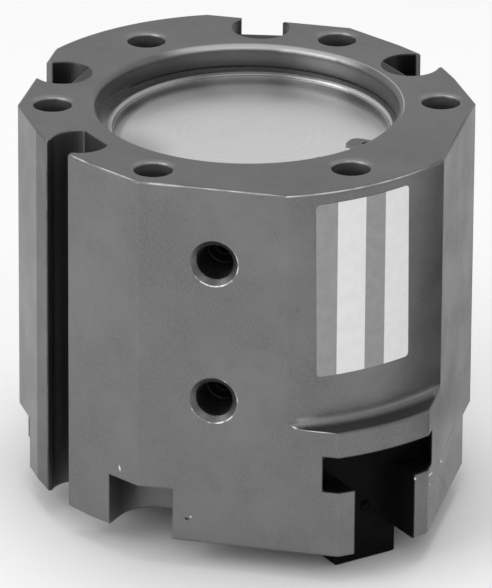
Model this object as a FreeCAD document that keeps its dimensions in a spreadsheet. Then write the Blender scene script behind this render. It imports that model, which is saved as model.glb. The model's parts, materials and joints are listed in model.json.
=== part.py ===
"""Pneumatic parallel gripper: a round piston drives two base jaws through a wedge hook.

The origin is the centre of the mounting face, +Z points out of that face, and the jaws slide
along Y at the other end. Depths are counted downwards from the mounting face.
"""
import FreeCAD
import Part
import Sketcher
import math
import operator
import os
from types import SimpleNamespace
from FreeCAD import Placement, Rotation, Vector

# Driving dimensions in millimetres and degrees
DIMENSIONS = [
    # outline of the housing
    ("housing_height", "91"),
    ("flat_wall", "3.567"),
    ("facet_wall", "2.363"),
    ("facet_step", "4.3"),
    ("facet_y", "11.8"),
    ("side_step", "1.2"),
    ("drum_bulge", "4.5"),
    ("shelf_width", "6"),
    ("shelf_depth", "59"),
    ("shelf_fillet", "1.8"),
    ("edge_chamfer", "0.5"),
    # flange holes and the pockets for their screw heads
    ("bolt_wall", "3.85"),
    ("bolt_hole", "9"),
    ("bolt_hole_depth", "20"),
    ("bolt_hole_chamfer", "0.4"),
    ("bolt_angle", "30"),
    ("pocket_width", "17.3"),
    ("pocket_ceiling", "77.8"),
    # recess, cover and retaining ring
    ("recess_step", "0.8"),
    ("recess_round", "1.5"),
    ("cover_depth", "7.8"),
    ("cover_thickness", "6"),
    ("cover_chamfer", "0.6"),
    ("cover_seal_section", "2"),
    ("ring_groove_depth", "1.85"),
    ("ring_ledge", "3.2"),
    ("ring_bore_offset", "1.4"),
    ("ring_thickness", "2.5"),
    ("ring_edge_round", "1"),
    ("ring_gap_direction", "289.6"),
    ("ring_gap_angle", "11.4"),
    ("lug_angle", "15.6"),
    ("lug_length", "6.4"),
    ("lug_width", "4.8"),
    ("lug_corner", "0.6"),
    ("lug_shoulder", "2.2"),
    ("lug_hole", "2.5"),
    ("lug_hole_inset", "4.7"),
    # cylinder and the wall under it
    ("cylinder_radius", "35"),
    ("cylinder_floor", "56.2"),
    ("rod_diameter", "16"),
    ("rod_hole_gap", "0.4"),
    ("rod_seal_roof", "1.5"),
    ("rod_seal_wall", "3.4"),
    ("rod_seal_height", "3.5"),
    ("bush_wall", "2.5"),
    ("bush_length", "3.4"),
    # slot that guides the jaws
    ("slot_width", "30.4"),
    ("slot_mouth", "16.6"),
    ("slot_ceiling", "65.4"),
    ("slot_shoulder", "74.3"),
    ("slot_round", "0.8"),
    # sensor grooves
    ("groove_radius", "7"),
    ("groove_mouth", "10"),
    ("groove_floor", "4.5"),
    ("side_groove_inset", "6.2"),
    ("rear_groove_inset", "9.5"),
    ("rear_groove_angle", "54.2"),
    # air ports
    ("upper_port_depth", "18.9"),
    ("lower_port_rise", "2.4"),
    ("port_offset", "4.6"),
    ("port_tap", "8.7"),
    ("port_tap_length", "11"),
    ("port_chamfer", "1.45"),
    ("port_passage", "3.5"),
    # piston and its rings
    ("piston_stroke", "12"),
    ("piston_floor_gap", "0.2"),
    ("piston_roof_gap", "0.4"),
    ("piston_side_gap", "0.4"),
    ("upper_boss_radius", "22"),
    ("lower_boss_radius", "19"),
    ("lower_boss_height", "6"),
    ("crown_land", "1.5"),
    ("ring_land", "1"),
    ("seal_groove_width", "3"),
    ("seal_groove_depth", "3"),
    ("guide_groove_width", "3"),
    ("guide_groove_depth", "1.5"),
    ("guide_split", "0.8"),
    ("magnet_groove_width", "2"),
    ("magnet_groove_depth", "2.5"),
    ("magnet_sink", "0.2"),
    ("bumper_radius", "15.5"),
    ("bumper_section", "1.8"),
    ("bumper_rise", "0.1"),
    # screw that joins piston and rod
    ("screw_diameter", "8"),
    ("screw_head", "13"),
    ("screw_head_height", "8"),
    ("screw_socket", "6"),
    ("screw_socket_depth", "4"),
    ("screw_length", "22"),
    ("screw_sink", "1"),
    ("screw_hole_gap", "0.3"),
    ("screw_hole_spare", "2"),
    ("washer_diameter", "14.6"),
    ("washer_thickness", "1.4"),
    ("web_thickness", "4"),
    ("spigot_diameter", "14"),
    ("spigot_gap", "0.2"),
    ("rod_seal_section", "1.5"),
    ("rod_ring_rise", "5"),
    # wedge head and its tongues
    ("jaw_stroke", "8"),
    ("head_roof_gap", "0.2"),
    ("head_side_gap", "0.4"),
    ("head_floor_gap", "1"),
    ("head_top_length", "33"),
    ("tongue_neck_width", "4.4"),
    ("tongue_neck_length", "2.2"),
    ("tongue_width", "9.2"),
    ("tongue_thickness", "2.5"),
    ("tongue_gap", "0.2"),
    # base jaws
    ("jaw_reach", "54"),
    ("jaw_drop", "6.5"),
    ("jaw_chamfer", "0.5"),
    ("finger_hole_pitch", "14"),
    ("finger_hole_inset", "6"),
    ("finger_tap", "5"),
    ("finger_tap_depth", "11"),
    ("sleeve_bore", "8"),
    ("sleeve_depth", "2.5"),
    ("end_tap", "3.3"),
    ("end_tap_depth", "8"),
    ("end_tap_rise", "7.5"),
    # plate that closes the slot between the jaws
    ("plate_thickness", "2"),
    ("plate_width", "32"),
    ("plate_corner", "3"),
    ("plate_jaw_gap", "2"),
    ("plate_screw", "3"),
    ("plate_screw_head", "6"),
    ("plate_screw_length", "8"),
    ("plate_screw_inset", "4.5"),
    ("plate_screw_socket", "2"),
    ("plate_screw_socket_depth", "1"),
    ("plate_hole_gap", "0.2"),
    # clearances
    ("fit_gap", "0.02"),
    ("running_gap", "0.05"),
    ("sliding_gap", "0.1"),
    ("cut_margin", "2"),
]

HEX_CORNERS = 6
MATCH_TOLERANCE = 0.0001
FRONT = -1
REAR = 1
BOLT_COUNT = 6
FULL_TURN = 360
PARTS_FOLDER = "parts"

doc = FreeCAD.newDocument("gripper")


# Sizes that carry their sheet expression

OPERATIONS = {"+": operator.add, "-": operator.sub, "*": operator.mul, "/": operator.truediv}


class Size:
    """A value together with the sheet expression that gives it."""

    def __init__(self, value, text):
        self.value = value
        self.text = text

    def __add__(self, other):
        return combine(self, "+", other)

    def __sub__(self, other):
        return combine(self, "-", other)

    def __mul__(self, other):
        return combine(self, "*", other)

    def __truediv__(self, other):
        return combine(self, "/", other)

    def __neg__(self):
        return Size(-self.value, f"(-1 * {self.text})")


def as_size(number):
    if isinstance(number, Size):
        return number
    return Size(float(number), repr(float(number)))


def combine(left, sign, right):
    left = as_size(left)
    right = as_size(right)
    return Size(OPERATIONS[sign](left.value, right.value), f"({left.text} {sign} {right.text})")


def root(size):
    return Size(math.sqrt(size.value), f"sqrt({size.text})")


def cosine(angle):
    return Size(math.cos(math.radians(angle.value)), f"cos({angle.text})")


def sine(angle):
    return Size(math.sin(math.radians(angle.value)), f"sin({angle.text})")


def make_sheet():
    sheet = doc.addObject("Spreadsheet::Sheet", "dims")
    for row, (name, number) in enumerate(DIMENSIONS, start=1):
        sheet.set(f"A{row}", name)
        sheet.set(f"B{row}", number)
        sheet.setAlias(f"B{row}", name)
    doc.recompute()
    return SimpleNamespace(**{name: Size(float(sheet.get(name)), f"dims.{name}") for name, _ in DIMENSIONS})


d = make_sheet()

# Sizes that follow from the driving ones

MOUNTING_FACE = as_size(0)
HALF_TURN = as_size(FULL_TURN / 2)
FLAT_TURN = as_size(FULL_TURN / 8)
recess_radius = d.cylinder_radius + d.recess_step
ring_groove_radius = recess_radius + d.ring_groove_depth
ring_bore_radius = recess_radius - d.ring_ledge
ring_top = d.cover_depth - d.ring_thickness
lug_tip_radius = ring_bore_radius - d.lug_length
cover_bottom = d.cover_depth + d.cover_thickness
cover_radius = recess_radius - d.running_gap

bolt_hole_radius = d.bolt_hole / 2
bolt_radius = ring_groove_radius + d.bolt_wall + bolt_hole_radius
flat_distance = bolt_radius * cosine(FLAT_TURN - d.bolt_angle) + bolt_hole_radius + d.flat_wall
flat_apex = flat_distance * math.sqrt(2)
flat_end_x = bolt_radius * cosine(d.bolt_angle) + bolt_hole_radius + d.facet_wall
flat_end_y = flat_apex - flat_end_x
facet_x = flat_end_x + d.facet_step
side_x = facet_x + d.side_step
drum_radius = flat_distance + d.drum_bulge
band_radius = drum_radius + d.shelf_width
groove_half_mouth = d.groove_mouth / 2
side_groove_centre = side_x - d.side_groove_inset
rear_groove_centre = drum_radius - d.rear_groove_inset

rod_radius = d.rod_diameter / 2
rod_hole_radius = rod_radius + d.rod_hole_gap
rod_seal_top = d.cylinder_floor + d.rod_seal_roof
rod_seal_bottom = rod_seal_top + d.rod_seal_height
rod_seal_radius = rod_radius + d.rod_seal_wall
bush_radius = rod_radius + d.bush_wall
bush_top = d.slot_ceiling - d.bush_length
lower_port_depth = d.cylinder_floor - d.lower_port_rise

piston_top = cover_bottom + d.piston_roof_gap + d.piston_stroke
piston_bottom = d.cylinder_floor - d.piston_floor_gap
piston_radius = d.cylinder_radius - d.piston_side_gap
ring_radius = d.cylinder_radius - d.running_gap
skirt_bottom = piston_bottom - d.lower_boss_height
seal_floor = piston_radius - d.seal_groove_depth
guide_floor = piston_radius - d.guide_groove_depth
magnet_floor = piston_radius - d.magnet_groove_depth
lower_seal_bottom = skirt_bottom - d.ring_land
lower_seal_top = lower_seal_bottom - d.seal_groove_width
magnet_bottom = lower_seal_top - d.ring_land
magnet_top = magnet_bottom - d.magnet_groove_width
guide_bottom = magnet_top - d.ring_land
guide_top = guide_bottom - d.guide_groove_width
upper_seal_bottom = guide_top - d.ring_land
upper_seal_top = upper_seal_bottom - d.seal_groove_width
skirt_top = upper_seal_top - d.crown_land
bumper_groove_depth = d.bumper_section - d.bumper_rise
bumper_half_groove = d.bumper_section / 2 + d.sliding_gap

screw_radius = d.screw_diameter / 2
screw_tip_radius = screw_radius + d.fit_gap
screw_seat = piston_top + d.screw_sink + d.screw_head_height
screw_tip = screw_seat + d.screw_length
washer_radius = d.washer_diameter / 2
web_top = screw_seat + d.washer_thickness
web_bottom = web_top + d.web_thickness
web_hole_radius = screw_radius + d.screw_hole_gap
head_pocket_radius = washer_radius + d.screw_hole_gap
spigot_radius = d.spigot_diameter / 2
spigot_top = web_bottom + d.spigot_gap
rod_ring_depth = piston_bottom - d.rod_ring_rise

slope = d.jaw_stroke / d.piston_stroke
head_top = d.slot_ceiling + d.piston_stroke + d.head_roof_gap
head_bottom = d.housing_height - d.head_floor_gap
head_width = d.slot_mouth - d.head_side_gap * 2
jaw_top = d.slot_ceiling + d.sliding_gap
jaw_shoulder = d.slot_shoulder - d.sliding_gap
jaw_bottom = d.housing_height + d.jaw_drop
jaw_half_width = d.slot_width / 2 - d.sliding_gap
jaw_half_stem = d.slot_mouth / 2 - d.sliding_gap


def wedge_reach(depth):
    """Half length of the wedge head at a depth, at rest."""
    return d.head_top_length / 2 + (depth - head_top) * slope


def jaw_inner(depth):
    """Distance from the centre plane to the inner face of a jaw at a depth, at rest."""
    return wedge_reach(depth) + d.tongue_gap


jaw_foot_inner = jaw_inner(d.housing_height)
plate_half_width = d.plate_width / 2
plate_half_length = jaw_foot_inner - d.plate_jaw_gap
plate_screw_x = (d.slot_mouth / 2 + plate_half_width) / 2
plate_screw_y = plate_half_length - d.plate_screw_inset
plate_bottom = d.housing_height + d.plate_thickness
plate_screw_radius = d.plate_screw / 2
plate_screw_cone = (d.plate_screw_head - d.plate_screw) / 2


# Sketches and features

def new_body(name):
    body = doc.addObject("PartDesign::Body", name)
    body.Label = name
    return body


def new_sketch(body, name, role, lift=None, turn=None):
    """Sketch on one of the body's origin planes, lifted off it and turned about its normal."""
    sketch = body.newObject("Sketcher::SketchObject", name)
    support = next(feature for feature in body.Origin.OriginFeatures if feature.Role == role)
    sketch.AttachmentSupport = [(support, "")]
    sketch.MapMode = "FlatFace"
    if turn is not None:
        sketch.AttachmentOffset = Placement(Vector(), Rotation(Vector(0, 0, 1), turn.value))
        sketch.setExpression("AttachmentOffset.Rotation.Angle", turn.text)
    if lift is not None:
        sketch.setExpression("AttachmentOffset.Base.z", lift.text)
    return sketch


def bind(sketch, constraint, size):
    index = sketch.addConstraint(constraint)
    sketch.setExpression(f"Constraints[{index}]", size.text)


def pin(sketch, geometry, end, point):
    """Hold one point of a sketch at its two coordinates."""
    for kind, number in zip(("DistanceX", "DistanceY"), point):
        size = as_size(number)
        bind(sketch, Sketcher.Constraint(kind, geometry, end, size.value), size)


def flat_point(point):
    return Vector(as_size(point[0]).value, as_size(point[1]).value, 0)


def short_arc(start, end, radius, left_turn):
    """Arc of under half a turn between two points, written the way it runs anticlockwise."""
    chord = end - start
    rise = math.sqrt(radius ** 2 - chord.Length ** 2 / 4)
    across = Vector(-chord.y, chord.x, 0).normalize()
    centre = (start + end) * 0.5 + across * (rise if left_turn else -rise)
    circle = Part.Circle(centre, Vector(0, 0, 1), radius)
    first, last = (start, end) if left_turn else (end, start)
    return Part.ArcOfCircle(circle, circle.parameter(first), circle.parameter(last))


def leaning_sides(corners):
    """Indices of the sides of an outline that are neither upright nor level."""
    points = [flat_point(corner) for corner in corners]
    steps = [end - start for start, end in zip(points, points[1:] + points[:1])]
    return [index for index, step in enumerate(steps) if not (near(step.x, 0) or near(step.y, 0))]


def trace(sketch, corners, left_arcs=None, right_arcs=None):
    """Closed outline; an arc leaves each corner whose index has a radius."""
    left_arcs = left_arcs or {}
    right_arcs = right_arcs or {}
    radii = {**left_arcs, **right_arcs}
    base = sketch.GeometryCount
    count = len(corners)
    ends = []
    for index, corner in enumerate(corners):
        start = flat_point(corner)
        end = flat_point(corners[(index + 1) % count])
        if index in radii:
            sketch.addGeometry(short_arc(start, end, radii[index].value, index in left_arcs))
        else:
            sketch.addGeometry(Part.LineSegment(start, end))
        ends.append((2, 1) if index in right_arcs else (1, 2))
    for index in range(count):
        following = (index + 1) % count
        join = (base + index, ends[index][1], base + following, ends[following][0])
        sketch.addConstraint(Sketcher.Constraint("Coincident", *join))
    for index, corner in enumerate(corners):
        pin(sketch, base + index, ends[index][0], corner)
    for index, radius in radii.items():
        bind(sketch, Sketcher.Constraint("Radius", base + index, radius.value), radius)


def add_circle(sketch, centre, radius):
    index = sketch.addGeometry(Part.Circle(flat_point(centre), Vector(0, 0, 1), radius.value))
    pin(sketch, index, 3, centre)
    bind(sketch, Sketcher.Constraint("Radius", index, radius.value), radius)


def add_rectangle(sketch, low, high):
    trace(sketch, [low, (high[0], low[1]), high, (low[0], high[1])])


def add_hexagon(sketch, across_flats):
    reach = across_flats / math.sqrt(3)
    turns = [math.radians(FULL_TURN / HEX_CORNERS * step) for step in range(HEX_CORNERS)]
    trace(sketch, [(reach * math.cos(turn), reach * math.sin(turn)) for turn in turns])


def extrude(kind, body, sketch, length, both, reverse):
    feature = body.newObject(f"PartDesign::{kind}", f"{sketch.Name}{kind}")
    feature.Profile = sketch
    feature.setExpression("Length", length.text)
    feature.SideType = "Symmetric" if both else "One side"
    feature.Reversed = reverse
    doc.recompute()
    return feature


def pad(body, sketch, length, both=False, reverse=False):
    return extrude("Pad", body, sketch, length, both, reverse)


def cut(body, sketch, length, both=False, reverse=False):
    before = body.Shape.Volume
    feature = extrude("Pocket", body, sketch, length, both, reverse)
    if body.Shape.Volume >= before:
        raise RuntimeError(f"{sketch.Name} cuts nothing")
    return feature


def revolve(body, sketch):
    feature = body.newObject("PartDesign::Revolution", f"{sketch.Name}Turn")
    feature.Profile = sketch
    feature.ReferenceAxis = (sketch, ["V_Axis"])
    feature.Angle = FULL_TURN
    doc.recompute()
    return feature


def dress(kind, body, name, width, wanted):
    """Chamfer or fillet on the edges of the body that the test picks."""
    tip = body.Tip
    names = [f"Edge{index}" for index, edge in enumerate(tip.Shape.Edges, start=1) if wanted(edge)]
    feature = body.newObject(f"PartDesign::{kind}", name)
    feature.Base = (tip, names)
    feature.setExpression("Size" if kind == "Chamfer" else "Radius", width.text)
    doc.recompute()
    return feature


def near(value, size):
    return abs(value - as_size(size).value) < MATCH_TOLERANCE


def level(edge, depth):
    """True for an edge that lies flat at a depth."""
    box = edge.BoundBox
    return near(box.ZMax, -depth) and near(box.ZMin, -depth)


def reach(edge):
    """Distance of the middle of an edge from the Z axis."""
    middle = edge.valueAt((edge.FirstParameter + edge.LastParameter) / 2)
    return math.hypot(middle.x, middle.y)


def is_circle(edge, radius):
    return isinstance(edge.Curve, Part.Circle) and near(edge.Curve.Radius, radius)


def turned(name, profile, left_arcs=None, right_arcs=None):
    """Body turned about Z from a profile of radius and depth pairs."""
    body = new_body(name)
    sketch = new_sketch(body, f"{name}_profile", "XZ_Plane")
    trace(sketch, [(radius, -as_size(depth)) for radius, depth in profile], left_arcs, right_arcs)
    revolve(body, sketch)
    return body


def ring(name, inner, outer, top, bottom):
    return turned(name, [(inner, top), (outer, top), (outer, bottom), (inner, bottom)])


def lip_ring(name, inner, outer, top, bottom, lips_up):
    """Seal ring with a V notch between its two lips."""
    middle = (inner + outer) / 2
    quarter = (outer - inner) / 4
    notch = (top + bottom) / 2
    face, back = (top, bottom) if lips_up else (bottom, top)
    outline = [(inner, face), (middle - quarter, face), (middle, notch), (middle + quarter, face)]
    outline += [(outer, face), (outer, back), (inner, back)]
    return turned(name, outline)


def round_ring(name, radius, section, depth):
    torus = doc.addObject("Part::Torus", name)
    torus.Label = name
    torus.setExpression("Radius1", radius.text)
    torus.setExpression("Radius2", (section / 2).text)
    torus.setExpression("Placement.Base.z", (-depth).text)
    doc.recompute()
    return torus


def tee_outline(wide, stem, top, shoulder, bottom):
    """Outline of a T that hangs by its wide part, whose four corners are cut off."""
    inset = d.slot_round
    right = [
        (wide - inset, -top),
        (wide, -(top + inset)),
        (wide, -(shoulder - inset)),
        (wide - inset, -shoulder),
        (stem, -shoulder),
        (stem, -bottom),
    ]
    return right + [(-x, z) for x, z in reversed(right)]


# Housing

def housing_blank():
    """Turned blank with every bore of the housing's axis."""
    drum = [
        (recess_radius + d.recess_round, 0),
        (drum_radius, 0),
        (drum_radius, d.shelf_depth - d.shelf_fillet),
    ]
    band = [
        (drum_radius + d.shelf_fillet, d.shelf_depth),
        (band_radius, d.shelf_depth),
        (band_radius, d.housing_height),
        (0, d.housing_height),
        (0, d.slot_ceiling),
    ]
    rod_wall = [
        (bush_radius, d.slot_ceiling),
        (bush_radius, bush_top),
        (rod_hole_radius, bush_top),
        (rod_hole_radius, rod_seal_bottom),
        (rod_seal_radius, rod_seal_bottom),
        (rod_seal_radius, rod_seal_top),
        (rod_hole_radius, rod_seal_top),
        (rod_hole_radius, d.cylinder_floor),
    ]
    ring_groove_top = ring_top - d.sliding_gap
    cylinder = [
        (d.cylinder_radius, d.cylinder_floor),
        (d.cylinder_radius, cover_bottom),
        (recess_radius, cover_bottom),
        (recess_radius, d.cover_depth),
        (ring_groove_radius, d.cover_depth),
        (ring_groove_radius, ring_groove_top),
        (recess_radius, ring_groove_top),
        (recess_radius, d.recess_round),
    ]
    profile = drum + band + rod_wall + cylinder
    hollows = {len(drum) - 1: d.shelf_fillet}
    rims = {len(profile) - 1: d.recess_round}
    return turned("housing", profile, left_arcs=hollows, right_arcs=rims)


def cut_outline(body):
    """Flats at 45 degrees and two facets on each side, all the way down."""
    sketch = new_sketch(body, "housing_outline", "XY_Plane")
    right_side = [
        (flat_end_x, -flat_end_y),
        (facet_x, -d.facet_y),
        (side_x, -groove_half_mouth),
        (side_x, groove_half_mouth),
        (facet_x, d.facet_y),
        (flat_end_x, flat_end_y),
    ]
    left_side = [(-x, -y) for x, y in right_side]
    trace(sketch, [(0, -flat_apex)] + right_side + [(0, flat_apex)] + left_side)
    add_circle(sketch, (0, 0), flat_apex + d.cut_margin)
    cut(body, sketch, d.housing_height)


def break_edges(body):
    """Small chamfer round the top, the bottom and the shelf."""
    def wanted(edge):
        outer = reach(edge) > ring_groove_radius.value
        shelf = level(edge, d.shelf_depth) and is_circle(edge, band_radius)
        return shelf or (outer and (level(edge, MOUNTING_FACE) or level(edge, d.housing_height)))

    dress("Chamfer", body, "housing_edges", d.edge_chamfer, wanted)


def cut_jaw_slot(body):
    """T-slot across the jaw end, with the four corners of its wide part rounded."""
    sketch = new_sketch(body, "jaw_slot", "XZ_Plane")
    below = d.housing_height + d.cut_margin
    outline = tee_outline(d.slot_width / 2, d.slot_mouth / 2, d.slot_ceiling, d.slot_shoulder, below)
    trace(sketch, outline, right_arcs={index: d.slot_round for index in leaning_sides(outline)})
    cut(body, sketch, (band_radius + d.cut_margin) * 2, both=True)


def cut_sensor_groove(body, name, direction, centre):
    """Round groove with a flat floor and a narrower mouth, open at both ends."""
    sketch = new_sketch(body, name, "XY_Plane", turn=direction)
    floor = centre - d.groove_floor
    floor_half = root(d.groove_radius * d.groove_radius - d.groove_floor * d.groove_floor)
    lip = centre + root(d.groove_radius * d.groove_radius - groove_half_mouth * groove_half_mouth)
    outside = band_radius + d.cut_margin
    corners = [
        (floor, floor_half),
        (floor, -floor_half),
        (lip, -groove_half_mouth),
        (outside, -groove_half_mouth),
        (outside, groove_half_mouth),
        (lip, groove_half_mouth),
    ]
    trace(sketch, corners, left_arcs={1: d.groove_radius, 5: d.groove_radius})
    cut(body, sketch, d.housing_height)


def cut_bolt_holes(body):
    """Six flange holes; all but the two over the jaw slot run down to an open pocket."""
    sketch = new_sketch(body, "bolt_hole", "XY_Plane", turn=d.bolt_angle)
    add_circle(sketch, (bolt_radius, 0), bolt_hole_radius)
    hole = cut(body, sketch, d.bolt_hole_depth)
    pattern = body.newObject("PartDesign::PolarPattern", "bolt_hole_ring")
    pattern.Originals = [hole]
    pattern.Axis = (sketch, ["N_Axis"])
    pattern.Angle = FULL_TURN
    pattern.Occurrences = BOLT_COUNT
    body.Tip = pattern
    doc.recompute()
    directions = [d.bolt_angle, HALF_TURN - d.bolt_angle, HALF_TURN + d.bolt_angle, -d.bolt_angle]
    for number, direction in enumerate(directions, start=1):
        through = new_sketch(body, f"through_hole_{number}", "XY_Plane", turn=direction)
        add_circle(through, (bolt_radius, 0), bolt_hole_radius)
        cut(body, through, d.pocket_ceiling + d.cut_margin)
        cut_head_pocket(body, f"head_pocket_{number}", direction)

    def wanted(edge):
        return is_circle(edge, bolt_hole_radius) and level(edge, MOUNTING_FACE)

    dress("Chamfer", body, "bolt_hole_rims", d.bolt_hole_chamfer, wanted)


def cut_head_pocket(body, name, direction):
    """Pocket for a screw head, open outwards and downwards."""
    sketch = new_sketch(body, name, "XY_Plane", lift=-d.housing_height, turn=direction)
    half = d.pocket_width / 2
    inner = bolt_radius - half
    outside = band_radius + d.cut_margin
    corners = [(bolt_radius, half), (inner, 0), (bolt_radius, -half), (outside, -half), (outside, half)]
    trace(sketch, corners, left_arcs={0: half, 1: half})
    cut(body, sketch, d.housing_height - d.pocket_ceiling, reverse=True)


def port_sketch(body, name, distance):
    """Sketch across the air ports, at a distance from the axis along the port flat's normal."""
    sketch = new_sketch(body, name, "XZ_Plane")
    sketch.AttachmentOffset = Placement(Vector(), Rotation(Vector(0, 1, 0), -FLAT_TURN.value))
    share = math.sqrt(0.5)
    sketch.setExpression("AttachmentOffset.Base.x", (-(distance * share)).text)
    sketch.setExpression("AttachmentOffset.Base.z", (distance * share).text)
    return sketch


def cut_ports(body):
    depths = (d.upper_port_depth, lower_port_depth)
    tap_radius = d.port_tap / 2
    passages = port_sketch(body, "port_passages", d.cylinder_radius - d.cut_margin)
    taps = port_sketch(body, "port_taps", flat_distance - d.port_tap_length)
    for depth in depths:
        add_circle(passages, (d.port_offset, -depth), d.port_passage / 2)
        add_circle(taps, (d.port_offset, -depth), tap_radius)
    cut(body, passages, flat_distance - d.cylinder_radius, reverse=True)
    cut(body, taps, d.port_tap_length + d.cut_margin, reverse=True)

    def wanted(edge):
        centre = edge.Curve.Center if is_circle(edge, tap_radius) else Vector()
        return near(-(centre.x + centre.y) * math.sqrt(0.5), flat_distance)

    dress("Chamfer", body, "port_rims", d.port_chamfer, wanted)


def cut_plate_taps(body):
    sketch = new_sketch(body, "plate_taps", "XY_Plane", lift=-d.housing_height)
    for centre in plate_screw_places():
        add_circle(sketch, centre, plate_screw_radius + d.fit_gap)
    cut(body, sketch, d.plate_screw_length + d.screw_hole_spare, reverse=True)


def plate_screw_places():
    signs = [(1, 1), (-1, 1), (-1, -1), (1, -1)]
    return [(plate_screw_x * across, plate_screw_y * along) for across, along in signs]


def make_housing():
    body = housing_blank()
    cut_outline(body)
    break_edges(body)
    cut_jaw_slot(body)
    cut_sensor_groove(body, "groove_right", as_size(0), side_groove_centre)
    cut_sensor_groove(body, "groove_left", HALF_TURN, side_groove_centre)
    cut_sensor_groove(body, "groove_rear_right", d.rear_groove_angle, rear_groove_centre)
    cut_sensor_groove(body, "groove_rear_left", HALF_TURN - d.rear_groove_angle, rear_groove_centre)
    cut_bolt_holes(body)
    cut_ports(body)
    cut_plate_taps(body)
    return body


# Cover, its ring and seal, and what the housing holds around the rod

def make_cover():
    middle = (d.cover_depth + cover_bottom) / 2
    half_groove = d.cover_seal_section / 2 + d.sliding_gap
    floor = recess_radius - d.cover_seal_section - d.fit_gap * 2
    return turned("cylinder_cover", [
        (0, d.cover_depth),
        (cover_radius - d.cover_chamfer, d.cover_depth),
        (cover_radius, d.cover_depth + d.cover_chamfer),
        (cover_radius, middle - half_groove),
        (floor, middle - half_groove),
        (floor, middle + half_groove),
        (cover_radius, middle + half_groove),
        (cover_radius, cover_bottom),
        (0, cover_bottom),
    ])


def make_cover_seal():
    radius = recess_radius - d.fit_gap - d.cover_seal_section / 2
    return round_ring("cover_o_ring", radius, d.cover_seal_section, (d.cover_depth + cover_bottom) / 2)


def make_retaining_ring():
    """Snap ring, wider opposite its gap, with a lug and a plier hole at each end."""
    body = new_body("cover_retaining_ring")
    outline = new_sketch(body, "ring_outline", "XY_Plane", lift=-d.cover_depth, turn=d.ring_gap_direction)
    add_circle(outline, (0, 0), ring_groove_radius - d.sliding_gap)
    add_circle(outline, (d.ring_bore_offset, 0), ring_bore_radius)
    pad(body, outline, d.ring_thickness)

    def inner_rim(edge):
        return is_circle(edge, ring_bore_radius) and level(edge, ring_top)

    dress("Fillet", body, "ring_inner_rim", d.ring_edge_round, inner_rim)
    gap = new_sketch(body, "ring_gap", "XY_Plane", turn=d.ring_gap_direction)
    far = ring_groove_radius + d.cut_margin
    side = far * sine(d.ring_gap_angle) / cosine(d.ring_gap_angle)
    trace(gap, [(0, 0), (far, -side), (far, side)])
    cut(body, gap, d.cover_depth * 2, both=True)
    add_ring_lug(body, "first", -1)
    add_ring_lug(body, "second", 1)
    return body


def add_ring_lug(body, name, side):
    """Lug on one side of the gap, square towards the gap and rounded on its other shoulder."""
    turn = d.ring_gap_direction + d.lug_angle * side
    half = d.lug_width / 2
    tip = lug_tip_radius
    root_end = ring_bore_radius + d.ring_bore_offset + half
    corners = [
        (root_end, -half),
        (root_end, half),
        (tip + d.lug_shoulder, half),
        (tip, half - d.lug_shoulder),
        (tip, d.lug_corner - half),
        (tip + d.lug_corner, -half),
    ]
    rounds = dict(zip(leaning_sides(corners), (d.lug_shoulder, d.lug_corner)))
    lug = new_sketch(body, f"{name}_lug", "XY_Plane", lift=-d.cover_depth, turn=turn)
    if side > 0:
        trace(lug, corners, left_arcs=rounds)
    else:
        trace(lug, [(x, -y) for x, y in corners], right_arcs=rounds)
    pad(body, lug, d.ring_thickness)
    hole = new_sketch(body, f"{name}_lug_hole", "XY_Plane", turn=turn)
    add_circle(hole, (tip + d.lug_hole_inset, 0), d.lug_hole / 2)
    cut(body, hole, d.cover_depth * 2, both=True)


def make_rod_seal():
    inner = rod_radius + d.running_gap
    outer = rod_seal_radius - d.fit_gap
    top = rod_seal_top + d.fit_gap
    return lip_ring("rod_seal", inner, outer, top, rod_seal_bottom - d.fit_gap, lips_up=True)


def make_rod_bush():
    return ring("rod_bush", rod_radius + d.running_gap, bush_radius - d.fit_gap, bush_top, d.slot_ceiling)


def make_bottom_plate():
    body = new_body("bottom_cover_plate")
    outline = new_sketch(body, "plate_outline", "XY_Plane", lift=-plate_bottom)
    add_rectangle(outline, (-plate_half_width, -plate_half_length), (plate_half_width, plate_half_length))
    pad(body, outline, d.plate_thickness)

    def upright(edge):
        return near(edge.BoundBox.ZLength, d.plate_thickness)

    dress("Fillet", body, "plate_corners", d.plate_corner, upright)
    holes = new_sketch(body, "plate_holes", "XY_Plane", lift=-plate_bottom)
    hole_radius = plate_screw_radius + d.plate_hole_gap
    for centre in plate_screw_places():
        add_circle(holes, centre, hole_radius)
    cut(body, holes, d.plate_thickness, reverse=True)

    def rim(edge):
        return is_circle(edge, hole_radius) and level(edge, plate_bottom)

    dress("Chamfer", body, "plate_sinks", plate_screw_cone, rim)
    return body


def make_plate_screws():
    """Four countersunk screws with hexagon sockets, flush with the plate."""
    body = new_body("bottom_cover_screws")
    body.AllowCompound = True
    head_radius = d.plate_screw_head / 2
    tip = plate_bottom - d.plate_screw_length
    for number, (across, along) in enumerate(plate_screw_places(), start=1):
        profile = new_sketch(body, f"plate_screw_{number}", "XZ_Plane")
        profile.setExpression("AttachmentOffset.Base.x", across.text)
        profile.setExpression("AttachmentOffset.Base.z", (-along).text)
        neck = plate_bottom - plate_screw_cone
        shank = [(0, tip), (plate_screw_radius, tip), (plate_screw_radius, neck)]
        outline = shank + [(head_radius, plate_bottom), (0, plate_bottom)]
        trace(profile, [(radius, -depth) for radius, depth in outline])
        revolve(body, profile)
        socket = new_sketch(body, f"plate_socket_{number}", "XY_Plane", lift=-plate_bottom)
        socket.setExpression("AttachmentOffset.Base.x", across.text)
        socket.setExpression("AttachmentOffset.Base.y", along.text)
        add_hexagon(socket, d.plate_screw_socket)
        cut(body, socket, d.plate_screw_socket_depth, reverse=True)
    return body


# Piston, its rings, and the rod with the wedge head

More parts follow.
